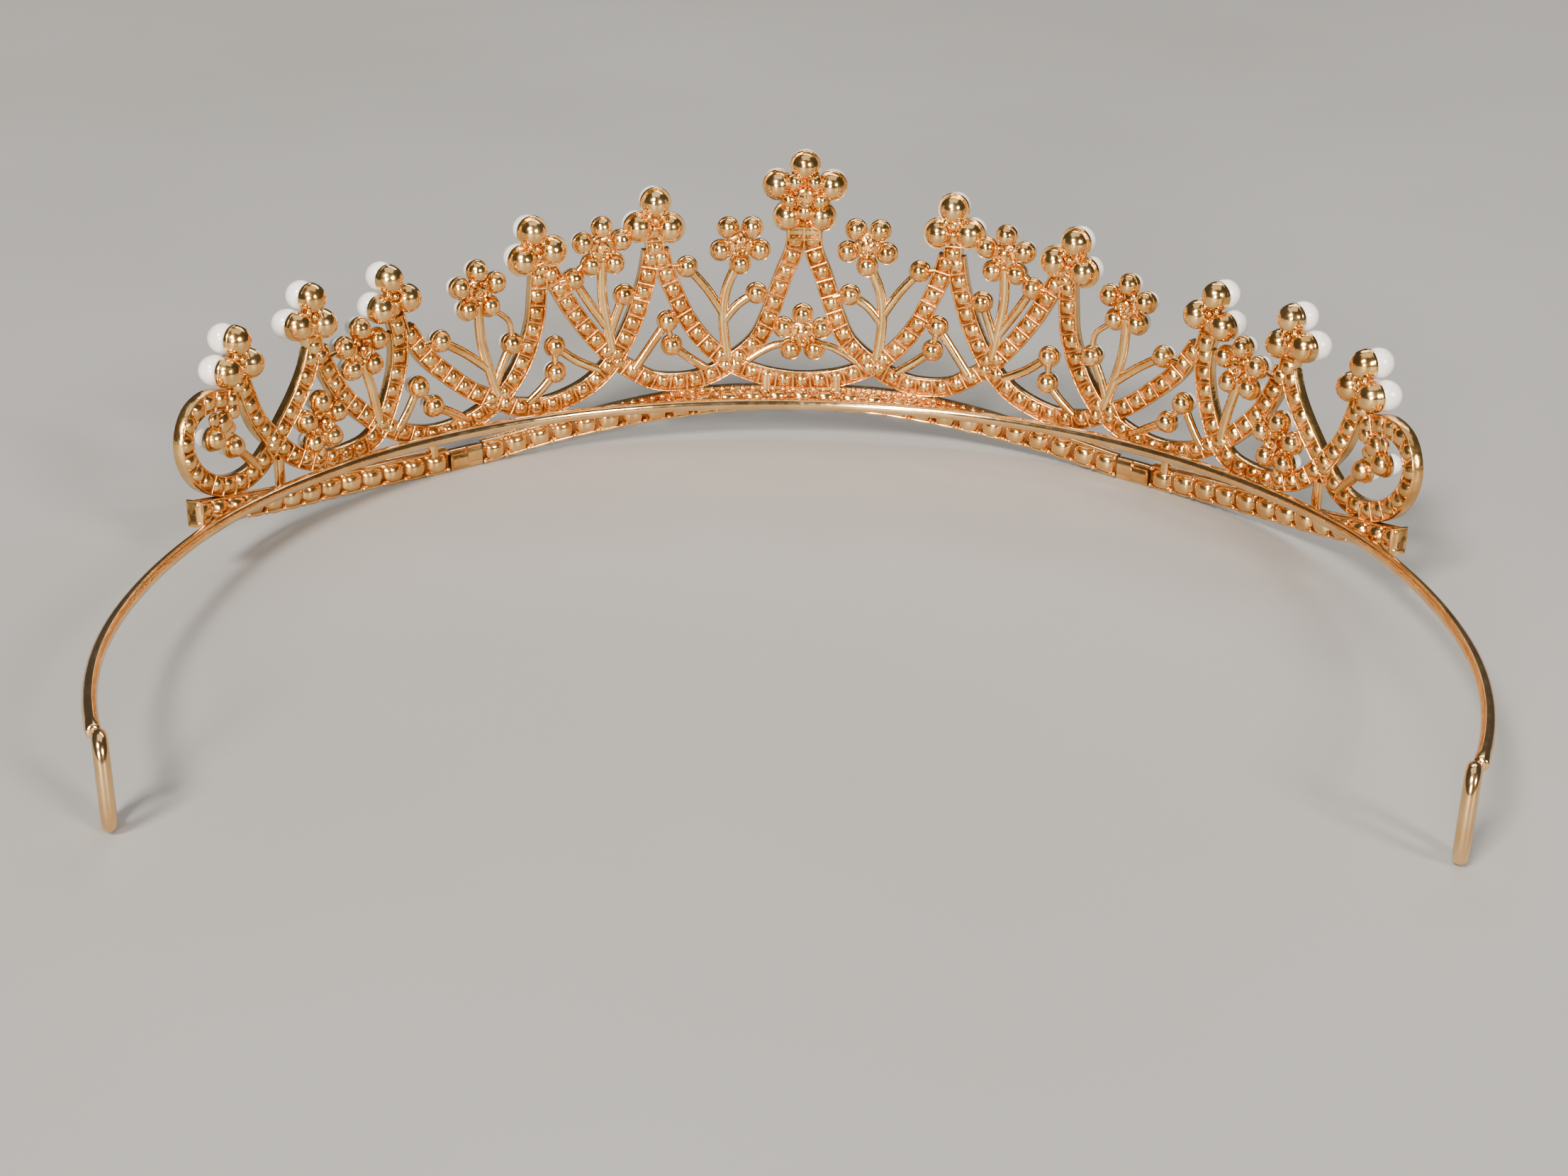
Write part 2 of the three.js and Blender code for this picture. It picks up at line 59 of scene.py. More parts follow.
SIDES = {"left": 1, "right": -1}

STRIP_WIDTH = 2.7
STRIP_WALL = 0.24
CELL_LENGTH = 2.5
RIDGE_WIDTH = 0.28
STONE_DEPTH = 1.0
# Where two strips cross, one lies this much forward of its place and the other as much behind.
LAYER = 0.06

PEARL_RADIUS = 2.03
PEARL_OFFSET = 1.7
CUP_RADIUS = 2.02
CUP_FRONT = 0.3
# The trefoils next to the middle and the middle flower have wider rims on their cups.
WIDE_RIM = 2.3
WIDE_DOME = WIDE_RIM - 0.35
WIDE_CRESTS = 2
CUP_PITCH = 4.25
CUP_SPREAD = 32

SMALL_CUP_RADIUS = 1.62
SMALL_CUP_FRONT = 0.35
SMALL_PEARL_RADIUS = 1.4
SMALL_PEARL_OFFSET = 0.9
BLOSSOM_RADIUS = 2.95

STEM_WIDTH = 1.3
TRUNK_WIDTH = 1.45
BRIDGE_WIDTH = 0.8
STEM_HALF_DEPTH = 0.5

RAIL_END = 101.6
RAIL_HEIGHT = 3.4
CELL_PITCH = 3.6
LEDGE_REACH, LEDGE_SWELL = 34, 0.65
JOINT_PLATE = (48.6, 54.0)
JOINT_GAP = 0.15
BRACKET_PLACE = 5.2
# Posts from the rail up to the garlands: (along, low end, high end).
RAIL_POSTS = ((56.4, 2.4, 5.2), (83.4, 5.4, 10.4))
RAIL_LINE = [
    (0, 3.95), (10, 3.65), (20, 2.85), (35, 1.4), (48, 0), (56, 0), (72, 1.3), (86, 3.4), (104, 8.2),
]

WIRE_RADIUS = 0.85
WIRE_ARC_RADIUS = FRIEZE_RADIUS - 2.3
WIRE_BASE, WIRE_SLOPE = 4.8, 0.05
WIRE_LIFT, LIFT_FADES = 0.65, 42
HINGE_ANGLE = 78
ARM_RADII, ARM_LENGTH = (110, 85), 55.5
LOOP_HEIGHT, LOOP_WIDTH, LOOP_TURN = 11.6, 5.6, 19
LOOP_PLACE = (69.7, 118.8)

# ---- flat pattern: garlands, crests, sprigs ------------------------------------------------------
GARLAND_CENTRE = [
    (20.8, 28.6), (20.0, 25.4), (18.7, 22.2), (17.2, 18.8), (15.4, 15.9), (13.2, 13.3),
    (10.6, 11.2), (8.0, 9.9), (5.0, 8.9), (2.0, 8.4), (0, 8.3),
]
GARLANDS = [
    [(1.2, 30.9), (1.35, 28.6), (2.0, 26.6), (2.9, 24.4), (4.9, 18.3), (6.8, 14.4), (10.4, 11.2),
     (13.4, 9.4), (17.0, 8.45), (21.4, 8.8), (24.6, 10.5), (27.8, 12.9), (31.2, 17.0), (34.0, 21.1),
     (36.3, 25.4), (37.3, 27.4)],
    [(22.0, 28.6), (22.6, 25.1), (23.5, 21.9), (24.7, 18.5), (26.4, 15.0), (28.2, 12.2), (31.0, 9.5),
     (34.4, 7.8), (38.4, 6.9), (42.4, 7.4), (45.6, 8.9), (49.4, 11.0), (53.0, 14.0), (56.6, 17.6),
     (59.6, 22.2)],
    [(38.7, 27.2), (39.0, 23.4), (39.5, 19.6), (41.0, 15.2), (43.2, 11.4), (46.2, 8.5), (50.6, 6.5),
     (55.2, 5.9), (60.0, 7.0), (64.4, 9.4), (68.0, 12.5), (71.0, 15.9), (73.2, 19.9), (74.3, 23.0)],
    [(61.1, 22.4), (61.0, 19.3), (61.6, 16.2), (62.8, 12.9), (64.5, 9.6), (67.0, 7.6), (70.6, 7.0),
     (74.6, 7.3), (78.4, 8.5), (81.4, 10.6), (84.0, 13.4), (86.4, 16.4), (87.8, 19.4), (88.9, 22.6)],
]
SCROLL = [
    (75.4, 23.2), (76.3, 20.9), (77.6, 18.8), (79.4, 16.6), (81.6, 14.4), (84.2, 12.0), (87.2, 10.2),
    (91.0, 9.6), (95.2, 10.6), (98.9, 12.9), (101.2, 15.9), (101.7, 18.9), (99.9, 21.5), (96.4, 22.3),
    (92.8, 21.5), (89.9, 20.4),
]
CRESTS = [
    {"top": (21.4, 35.6), "lean": 4, "foot": (21.5, 27.6)},
    {"top": (39.6, 33.0), "lean": -11, "foot": (38.1, 26.4)},
    {"top": (62.2, 30.0), "lean": -9, "foot": (60.5, 21.4)},
    {"top": (75.4, 30.4), "lean": 9, "foot": (74.9, 22.2)},
    {"top": (89.9, 28.6), "lean": 1, "foot": (89.5, 21.4)},
]
CENTRE_FLOWER, CENTRE_PETALS = (0, 36.55), 4.05
SPRIGS = [
    {"blossom": (9.2, 29.2), "turn": -90, "stem": [(11.0, 12.2), (11.6, 17.5), (11.3, 22.0), (9.9, 25.6)],
     "twigs": [[(11.6, 18.8), (14.0, 22.6), (16.9, 26.0)], [(11.6, 17.6), (9.4, 20.2), (6.8, 21.8)]],
     "bars": [[(4.4, 21.4), (5.6, 21.8)], [(17.4, 26.2), (19.2, 26.4)]]},
    {"blossom": (29.3, 29.6), "turn": 90, "stem": [(28.0, 14.0), (28.8, 18.6), (29.4, 23.0), (29.3, 27.6)],
     "twigs": [[(28.8, 17.8), (31.2, 21.4), (33.6, 25.4)], [(28.4, 16.6), (27.4, 19.4), (26.2, 22.4)]],
     "bars": [[(24.9, 32.6), (26.6, 30.9)], [(34.2, 25.6), (35.8, 25.4)], [(24.0, 21.8), (25.4, 22.2)],
              [(33.4, 26.2), (31.6, 27.8)]]},
    {"blossom": (48.2, 25.6), "turn": 90, "stem": [(45.6, 9.8), (47.0, 14.4), (48.0, 18.8), (48.2, 23.6)],
     "twigs": [[(47.2, 14.2), (50.6, 17.0), (54.4, 19.5)], [(45.8, 11.6), (44.8, 14.2), (43.3, 17.2)]],
     "bars": [[(46.2, 22.8), (43.6, 20.6), (43.3, 18.4)], [(42.4, 17.2), (40.8, 16.9)],
              [(55.4, 19.6), (57.4, 19.4)]]},
    {"blossom": (67.4, 21.2), "turn": 90, "stem": [(65.0, 10.2), (65.8, 14.6), (67.1, 19.2)], "twigs": [],
     "bars": [[(70.4, 22.0), (73.0, 21.6)]]},
]
TWIGS = [
    [[(24.6, 11.2), (22.2, 14.6), (19.8, 18.0)], [(14.0, 10.4), (16.6, 12.2), (19.2, 14.3)]],
    [[(30.0, 11.4), (33.4, 13.2), (36.7, 15.8)], [(41.0, 7.8), (38.8, 9.6), (36.7, 11.9)]],
    [[(62.2, 7.8), (60.2, 10.4), (58.3, 13.6)], [(50.4, 6.8), (53.0, 8.6), (56.0, 10.3)]],
]
CENTRE_BLOSSOM = (0, 15.7)
ARCH = [(8.0, 11.6), (5.6, 13.1), (3.0, 14.0)]
SIDE_BLOSSOM = (75.1, 12.9)
SIDE_STALK = [(75.2, 11.2), (75.4, 8.6), (75.5, 6.6)]
SCROLL_BUDS = [(96.2, 17.4), (92.2, 15.1)]
SCROLL_EYE = (93.6, 17.0)
# Solder that fills the eye of the scroll above its buds: place and size of each lump.
SCROLL_LUMPS = [((93.6, 18.8), 1.5), ((91.4, 19.6), 1.1), ((95.6, 19.8), 1.0), ((92.3, 17.6), 0.9)]
SCROLL_STALK = [(92.0, 15.0), (90.4, 13.6), (88.8, 12.0), (87.4, 10.4)]


# ---- solids made by code -------------------------------------------------------------------------
class Solid:
    """Vertices and faces of one piece, gathered before it becomes a mesh."""

    def __init__(self):
        self.verts = []
        self.faces = []

    def add(self, verts, faces):
        base = len(self.verts)
        self.verts.extend(verts)
        self.faces.extend([tuple(base + i for i in face) for face in faces])

    def rings(self, rings, closed=False):
        """Skins a list of equal rings; open ends are capped."""
        count = len(rings[0])
        faces = []
        turns = len(rings) if closed else len(rings) - 1
        for i in range(turns):
            a, b = i * count, ((i + 1) % len(rings)) * count
            for k in range(count):
                n = (k + 1) % count
                faces.append((a + k, a + n, b + n, b + k))
        if not closed:
            last = (len(rings) - 1) * count
            faces.append(tuple(range(count - 1, -1, -1)))
            faces.append(tuple(range(last, last + count)))
        self.add([v for ring in rings for v in ring], faces)


def bend(point, side):
    """From the flat pattern to the row frame, on the left half (side 1) or mirrored (side -1)."""
    along, up, depth = point
    angle = along / FRIEZE_RADIUS
    radius = FRIEZE_RADIUS + depth
    back = FRIEZE_RADIUS - radius * math.cos(angle) - CENTRE_SHIFT
    return Vector((side * radius * math.sin(angle), back, up)) * MM


def in_row(point):
    """From the CAD model's own place, before it was centred on its footprint."""
    return Vector((point[0], point[1] - CENTRE_SHIFT, point[2])) * MM


def spline(points, step):
    """Evenly spaced points on a smooth line through the given ones."""
    points = [Vector(p) for p in points]
    dense = []
    for i in range(len(points) - 1):
        before, a = points[max(0, i - 1)], points[i]
        b, after = points[i + 1], points[min(len(points) - 1, i + 2)]
        for k in range(16):
            t = k / 16
            dense.append(0.5 * (2 * a + (b - before) * t + (2 * before - 5 * a + 4 * b - after) * t * t
                                + (3 * a - before - 3 * b + after) * t ** 3))
    dense.append(points[-1])
    lengths = [0.0]
    for a, b in zip(dense, dense[1:]):
        lengths.append(lengths[-1] + (b - a).length)
    count = max(2, round(lengths[-1] / step))
    out, k = [], 0
    for i in range(count + 1):
        target = lengths[-1] * i / count
        while k < len(dense) - 2 and lengths[k + 1] < target:
            k += 1
        span = lengths[k + 1] - lengths[k] or 1
        out.append(dense[k].lerp(dense[k + 1], (target - lengths[k]) / span))
    return out


def across(points, i):
    """The direction square to a line at its point i."""
    ahead = points[min(len(points) - 1, i + 1)] - points[max(0, i - 1)]
    ahead.normalize()
    return Vector((-ahead.y, ahead.x))


def sweep(solid, points, section, step=0.8):
    """Sweeps a section of (sideways, depth) pairs along a line in the flat pattern."""
    line = spline(points, step)
    rings = []
    for i, p in enumerate(line):
        side = across(line, i)
        rings.append([(p.x + side.x * u, p.y + side.y * u, d) for u, d in section])
    solid.rings(rings)


def turned(solid, place, profile, sides, depth=0.0):
    """A turned shape with its axis along depth; profile is (radius, depth) from axis to axis."""
    x, y = place
    angles = [2 * math.pi * k / sides for k in range(sides)]
    ends = []
    rings = []
    for r, d in profile:
        if r < 1e-6:
            ends.append((x, y, depth + d))
        else:
            rings.append([(x + r * math.cos(a), y + r * math.sin(a), depth + d) for a in angles])
    verts = [ends[0]] + [v for ring in rings for v in ring] + [ends[1]]
    faces = []
    for k in range(sides):
        n = (k + 1) % sides
        faces.append((0, 1 + n, 1 + k))
        for i in range(len(rings) - 1):
            a, b = 1 + i * sides, 1 + (i + 1) * sides
            faces.append((a + k, a + n, b + n, b + k))
        last = 1 + (len(rings) - 1) * sides
        faces.append((last + k, last + n, len(verts) - 1))
    solid.add(verts, faces)


def ball(solid, place, radius, depth, sides=20, flat=1.0):
    """A ball with its middle at the given depth; `flat` squeezes it along that axis."""
    rows = sides // 2
    angles = [math.pi * i / rows for i in range(rows + 1)]
    profile = [(radius * math.sin(a), -radius * flat * math.cos(a)) for a in angles]
    profile[0], profile[-1] = (0, profile[0][1]), (0, profile[-1][1])
    turned(solid, place, profile, sides, depth)


def cup_profile(dome, rim, front):
    """A domed back on a rolled rim, with a hollow front for the pearl."""
    foot = -0.28
    angles = [math.radians(degrees) for degrees in range(0, 81, 10)]
    back = [(dome * math.sin(a), foot - dome * math.cos(a)) for a in angles]
    back[0] = (0, back[0][1])
    return back + [(dome, foot), (rim - 0.06, foot - 0.04), (rim, foot + 0.1), (rim, front - 0.12),
                   (0.97 * rim, front), (0.88 * rim, front), (0.8 * rim, front - 0.3),
                   (0.55 * rim, front - 0.5 * rim), (0, front - 0.6 * rim)]


def cup(solid, place, dome, rim, front, depth=0.0):
    turned(solid, place, cup_profile(dome, rim, front), 24, depth)


def section_block(half, back, front, r=0.14):
    """A bar's section, `half` its width to each side, with its corners cut by r."""
    return [(half, back + r), (half, front - r), (half - r, front), (-half + r, front),
            (-half, front - r), (-half, back + r), (-half + r, back), (half - r, back)]


def section_channel(half, wall, back, floor, front):
    """A strip whose back is hollowed between two rims."""
    r = 0.1
    inner = half - wall
    return [(half, back + r), (half, front - r), (half - r, front), (-half + r, front), (-half, front - r),
            (-half, back + r), (-half + r, back), (-inner - r, back), (-inner, back + r), (-inner, floor),
            (inner, floor), (inner, back + r), (inner + r, back), (half - r, back)]


# ---- finishes ------------------------------------------------------------------------------------
def new_material(name, slot_color):
    """An empty node material, and what is needed to fill it in."""
    material = bpy.data.materials.new(name)
    material.use_nodes = True
    material.diffuse_color = (*slot_color, 1)
    nodes, links = material.node_tree.nodes, material.node_tree.links
    shader = nodes["Principled BSDF"]
    coords = nodes.new("ShaderNodeTexCoord")
    return material, nodes, links, shader, coords


def noise_node(nodes, links, coords, scale, detail, roughness=0.5):
    texture = nodes.new("ShaderNodeTexNoise")
    texture.inputs["Scale"].default_value = scale
    texture.inputs["Detail"].default_value = detail
    texture.inputs["Roughness"].default_value = roughness
    links.new(coords.outputs["Object"], texture.inputs["Vector"])
    return texture


def ramp(nodes, links, source, stops):
    node = nodes.new("ShaderNodeValToRGB")
    elements = node.color_ramp.elements
    while len(elements) < len(stops):
        elements.new(0.5)
    for element, (place, color) in zip(elements, stops):
        element.position = place
        element.color = (*color, 1)
    links.new(source, node.inputs["Fac"])
    return node


def grey(value):
    return (value, value, value)


def gold(name, dark, light, rough, bump_scale, bump_strength):
    """Polished gold: colour drifts a little, wear changes the gloss, and the casting ripples."""
    material, nodes, links, shader, coords = new_material(name, light)
    shader.inputs["Metallic"].default_value = 1
    drift = noise_node(nodes, links, coords, 260, 3)
    color = ramp(nodes, links, drift.outputs["Fac"], [(0.35, dark), (0.68, light)])
    links.new(color.outputs["Color"], shader.inputs["Base Color"])
    wear = noise_node(nodes, links, coords, 900, 4, 0.6)
    gloss = ramp(nodes, links, wear.outputs["Fac"], [(0.3, grey(rough[0])), (0.75, grey(rough[1]))])
    links.new(gloss.outputs["Color"], shader.inputs["Roughness"])
    ripple = noise_node(nodes, links, coords, bump_scale, 2)
    bump = nodes.new("ShaderNodeBump")
    bump.inputs["Strength"].default_value = bump_strength
    bump.inputs["Distance"].default_value = 0.0001
    links.new(ripple.outputs["Fac"], bump.inputs["Height"])
    links.new(bump.outputs["Normal"], shader.inputs["Normal"])
    return material


def make_pearl():
    """Nacre: a clear coat over a soft white that drifts from cream to cool."""
    material, nodes, links, shader, coords = new_material("pearl", (0.93, 0.9, 0.85))
    drift = noise_node(nodes, links, coords, 420, 2)
    color = ramp(nodes, links, drift.outputs["Fac"], [(0.3, (0.66, 0.62, 0.57)), (0.7, (0.8, 0.77, 0.73))])
    links.new(color.outputs["Color"], shader.inputs["Base Color"])
    haze = noise_node(nodes, links, coords, 1500, 2)
    gloss = ramp(nodes, links, haze.outputs["Fac"], [(0.3, grey(0.22)), (0.7, grey(0.32))])
    links.new(gloss.outputs["Color"], shader.inputs["Roughness"])
    shader.inputs["Coat Weight"].default_value = 0.7
    shader.inputs["Coat Roughness"].default_value = 0.12
    shader.inputs["Subsurface Weight"].default_value = 0.05
    shader.inputs["Subsurface Scale"].default_value = 0.0005
    return material


def make_stone():
    """Cut colourless stones, slightly blue."""
    material, nodes, links, shader, coords = new_material("stone", (0.9, 0.93, 0.96))
    drift = noise_node(nodes, links, coords, 600, 2)
    color = ramp(nodes, links, drift.outputs["Fac"], [(0.3, (0.8, 0.86, 0.92)), (0.7, (0.98, 0.98, 1.0))])
    links.new(color.outputs["Color"], shader.inputs["Base Color"])
    gloss = ramp(nodes, links, drift.outputs["Fac"], [(0.3, grey(0.02)), (0.7, grey(0.08))])
    links.new(gloss.outputs["Color"], shader.inputs["Roughness"])
    shader.inputs["IOR"].default_value = 1.7
    shader.inputs["Transmission Weight"].default_value = 0.6
    return material


# gold(name, darker colour, lighter colour, roughness range, ripple scale, ripple strength).  The
# strips are matter than the cups. Their dull channels get painted shade: a dark gold standing in for the
# shadow there.
FRIEZE_GOLD = gold("frieze_gold", (0.74, 0.4, 0.12), (0.95, 0.62, 0.25), (0.12, 0.24), 1400, 0.45)
STRIP_GOLD = gold("strip_gold", (0.68, 0.35, 0.1), (0.9, 0.56, 0.21), (0.14, 0.3), 1500, 0.6)
RAIL_GOLD = gold("rail_gold", (0.76, 0.41, 0.13), (0.94, 0.6, 0.25), (0.12, 0.25), 1100, 0.3)
WIRE_GOLD = gold("wire_gold", (0.76, 0.46, 0.19), (0.9, 0.6, 0.29), (0.1, 0.22), 500, 0.12)
# Painted shade: this dark gold stands in for the shadow in the channels and behind the rail's cups.
PAINTED_SHADE_GOLD = gold("painted_shade_gold", (0.22, 0.1, 0.035), (0.4, 0.2, 0.08), (0.3, 0.5), 1400, 0.5)
PEARL = make_pearl()
STONE = make_stone()
SLOTS = {"frieze_gold": FRIEZE_GOLD, "strip": STRIP_GOLD, "rail_gold": RAIL_GOLD, "wire_gold": WIRE_GOLD,
         "recess": PAINTED_SHADE_GOLD, "pearl": PEARL, "stone": STONE}


# ---- from solids to pieces -----------------------------------------------------------------------
def piece(name, solid, slot, place, body="root", stands_for=()):
    mesh = bpy.data.meshes.new(name)
    mesh.from_pydata([place(v) for v in solid.verts], [], solid.faces)
    work = bmesh.new()
    work.from_mesh(mesh)
    bmesh.ops.recalc_face_normals(work, faces=work.faces)
    work.to_mesh(mesh)
    work.free()
    mesh.shade_smooth()
    mesh.set_sharp_from_angle(angle=math.radians(50))
    mesh.materials.append(SLOTS[slot])
    obj = bpy.data.objects.new(name, mesh)
    bpy.context.scene.collection.objects.link(obj)
    if body:
        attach(obj, body)
    if stands_for:
        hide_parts(*stands_for)
    return obj


def bent_piece(name, solid, slot, side=1, stands_for=()):
    return piece(name, solid, slot, lambda v: bend(v, side), "root", stands_for)


def pair(name, solid, slot, node=None):
    for word, side in SIDES.items():
        stands_for = (f"{node}_{word}",) if node else ()
        bent_piece(f"{name}_{word}", solid, slot, side, stands_for)


# ---- parts of the frieze -------------------------------------------------------------------------
def cells_along(points):
    """The middles of a strip's cells."""
    line = spline(points, CELL_LENGTH)
    return [((a.x + b.x) / 2, (a.y + b.y) / 2) for a, b in zip(line, line[1:])]


def pillow(solid, place, ahead, half_length, half_width, back, bulge, count=6):
    """A soft-cornered dome that swells backwards from depth `back`."""
    side = Vector((-ahead.y, ahead.x))
    grid = []
    for i in range(count + 1):
        for k in range(count + 1):
            u, v = 2 * i / count - 1, 2 * k / count - 1
            x, y = u * math.sqrt(1 - 0.3 * v * v), v * math.sqrt(1 - 0.3 * u * u)
            rise = math.sqrt(max(0.0, (1 - u * u) * (1 - v * v)))
            at = Vector(place) + ahead * (x * half_length) + side * (y * half_width)
            grid.append((at.x, at.y, back - bulge * rise))
    faces = []
    for i in range(count):
        for k in range(count):
            a = i * (count + 1) + k
            faces.append((a, a + 1, a + count + 2, a + count + 1))
    rim = [i * (count + 1) for i in range(count + 1)]
    rim += [count * (count + 1) + k for k in range(1, count + 1)]
    rim += [i * (count + 1) + count for i in range(count - 1, -1, -1)]
    rim += list(range(count - 1, 0, -1))
    faces.append(tuple(rim))
    solid.add(grid, faces)


def beaded_strip(solid, recess, points, layer=0.0):
    """Back of a stone-set strip: a channel with a row of domed cup backs and a ridge between each.

    The floor of the channel goes into `recess`, whose dark gold is painted shade for the
    shadow down in the channel.
    """
    half, wall = STRIP_WIDTH / 2, STRIP_WALL
    sweep(solid, points, section_channel(half, wall, -0.28 + layer, 0.25 + layer, 1.25 + layer))
    # Channel floor: painted shade, a dark gold in place of the shadow in the channel.
    sweep(recess, points, section_block(half - wall, 0.1 + layer, 0.3 + layer, 0.02))
    ridge = section_block(RIDGE_WIDTH / 2, -0.34 + layer, 0.3 + layer, 0.06)
    line = spline(points, CELL_LENGTH)
    for i, (a, b) in enumerate(zip(line, line[1:])):
        middle, ahead = (a + b) / 2, (b - a).normalized()
        side = Vector((-ahead.y, ahead.x))
        length = (b - a).length
        pillow(solid, middle, ahead, length / 2 - 0.2, half - wall - 0.02, 0.12 + layer, 0.72)
        if i:
            reach = side * (half - wall / 2)
            sweep(solid, [a - reach, a + reach], ridge, half)


def stones_along(solid, points):
    """One cut stone in front of every cell of a strip."""
    stone = [(0, -0.5), (1.02, 0), (1.04, 0.08), (0.65, 0.4), (0, 0.42)]
    for place in cells_along(points):
        turned(solid, place, stone, 8, STONE_DEPTH)


def stem(solid, points, width=STEM_WIDTH):
    sweep(solid, points, section_block(width / 2, -STEM_HALF_DEPTH, STEM_HALF_DEPTH, 0.36))


def petals(middle, radius, turn):
    """Five places on a ring, the first one `turn` degrees from the direction of +along."""
    angles = [math.radians(turn + 72 * i) for i in range(5)]
    return [(middle[0] + radius * math.cos(a), middle[1] + radius * math.sin(a)) for a in angles]


def blossom(solid, pearls, middle, turn):
    """Five small cups round a disc, with a pierced boss and a ring of solder lumps on its back."""
    for place in petals(middle, BLOSSOM_RADIUS, turn):
        cup(solid, place, SMALL_CUP_RADIUS - 0.18, SMALL_CUP_RADIUS, SMALL_CUP_FRONT)
        ball(pearls, place, SMALL_PEARL_RADIUS, SMALL_PEARL_OFFSET)
    turned(solid, middle, [(0, -0.45), (1.9, -0.45), (2.05, -0.3), (2.0, 0.4), (0, 0.4)], 20)
    boss = [(0, -0.7), (0.42, -0.7), (0.5, -1.3), (0.72, -1.45), (0.95, -1.3), (1.02, -0.4), (0, -0.4)]
    turned(solid, middle, boss, 20)
    for place in petals(middle, 1.5, turn + 36):
        ball(solid, place, 0.4, -0.75, 10)
    ball(pearls, middle, 1.3, SMALL_PEARL_OFFSET)


def bud(solid, pearls, place):
    cup(solid, place, SMALL_CUP_RADIUS - 0.15, SMALL_CUP_RADIUS, SMALL_CUP_FRONT)
    ball(pearls, place, SMALL_PEARL_RADIUS, SMALL_PEARL_OFFSET)


def crest_places(crest):
    """The three cups of a trefoil: the top one, and two below it on either side."""
    (x, y), lean = crest["top"], crest["lean"]
    angles = [math.radians(-90 + lean + spread) for spread in (-CUP_SPREAD, CUP_SPREAD)]
    return [(x, y)] + [(x + CUP_PITCH * math.cos(a), y + CUP_PITCH * math.sin(a)) for a in angles]


def garland_solids(k, line):
    solid, recess, stones = Solid(), Solid(), Solid()
    beaded_strip(solid, recess, line, LAYER if k % 2 else -LAYER)
    stones_along(stones, line)
    return solid, recess, stones


def make_garlands():
    """The middle U, then the four garlands of each side."""
    whole = GARLAND_CENTRE + [(-x, y) for x, y in reversed(GARLAND_CENTRE[:-1])]
    solid, recess, stones = garland_solids(0, whole)
    bent_piece("garland_back_0", solid, "strip", 1, ("garland_0",))
    bent_piece("garland_recess_0", recess, "recess")
    bent_piece("garland_stones_0", stones, "stone")
    for k, line in enumerate(GARLANDS, 1):
        solid, recess, stones = garland_solids(k, line)
        pair(f"garland_back_{k}", solid, "strip", f"garland_{k}")
        pair(f"garland_recess_{k}", recess, "recess")
        pair(f"garland_stones_{k}", stones, "stone")


def make_scrolls():
    """The end scrolls, with two buds on a stalk and solder in the eye."""
    solid, recess, stones = garland_solids(len(GARLANDS) + 1, SCROLL)
    pearls = Solid()
    for place in SCROLL_BUDS:
        bud(solid, pearls, place)
    stem(solid, SCROLL_STALK)
    turned(solid, SCROLL_EYE, [(0, -0.5), (1.4, -0.4), (1.5, 0.4), (0, 0.4)], 12)
    for place, radius in SCROLL_LUMPS:
        ball(solid, place, radius, -0.1, 14, 0.6)
    pair("scroll_pearls", pearls, "pearl")
    pair("scroll_back", solid, "strip", "scroll")
    pair("scroll_recess", recess, "recess")
    pair("scroll_stones", stones, "stone")


def make_collar(solid):
    """Open box under the middle flower, with a small pyramid on top of it."""
    half, low, high = 2.45, 29.9, 31.9
    sweep(solid, [(-half, 30.9), (half, 30.9)], section_block(0.95, -0.3, 0.5), 0.6)
    for up in (low + 0.2, high - 0.2):
        sweep(solid, [(-half, up), (half, up)], section_block(0.22, -0.95, 0.3), 0.6)
    for along in (-half + 0.2, 0, half - 0.2):
        sweep(solid, [(along, low), (along, high)], section_block(0.2, -0.9, 0.3, 0.06), 0.6)
    pyramid = [(-1.35, high, -0.5), (1.35, high, -0.5), (0, high + 1.8, -0.5), (0, high + 0.5, -1.7)]
    solid.add(pyramid, [(0, 1, 3), (1, 2, 3), (2, 0, 3), (0, 2, 1)])


def make_trefoils():
    """Ten crests of three cups, each on a short strip with a knob between its cups."""
    for k, crest in enumerate(CRESTS, 1):
        solid, recess, pearls = Solid(), Solid(), Solid()
        places = crest_places(crest)
        x, y = (sum(p[i] for p in places) / 3 for i in (0, 1))
        dome, rim = (WIDE_DOME, WIDE_RIM) if k <= WIDE_CRESTS else (CUP_RADIUS - 0.04, CUP_RADIUS)
        for place in places:
            cup(solid, place, dome, rim, CUP_FRONT)
            ball(pearls, place, PEARL_RADIUS, PEARL_OFFSET, 28)
        turned(solid, (x, y), [(0, -0.7), (0.9, -0.6), (1.3, -0.3), (1.3, 0.2), (0, 0.2)], 14)
        for i in range(3):
            angle = math.radians(crest["lean"] + 30 + 120 * i)
            ball(solid, (x + 1.15 * math.cos(angle), y + 1.15 * math.sin(angle)), 0.5, -0.85, 10)
        ball(solid, (x, y), 0.55, -0.95, 10)
        beaded_strip(solid, recess, [crest["foot"], (x, y - 0.6)])
        pair(f"crest_recess_{k}", recess, "recess")
        pair(f"crest_cups_{k}", solid, "frieze_gold", f"crest_{k}")
        pair(f"crest_pearls_back_{k}", pearls, "pearl", f"crest_pearls_{k}")


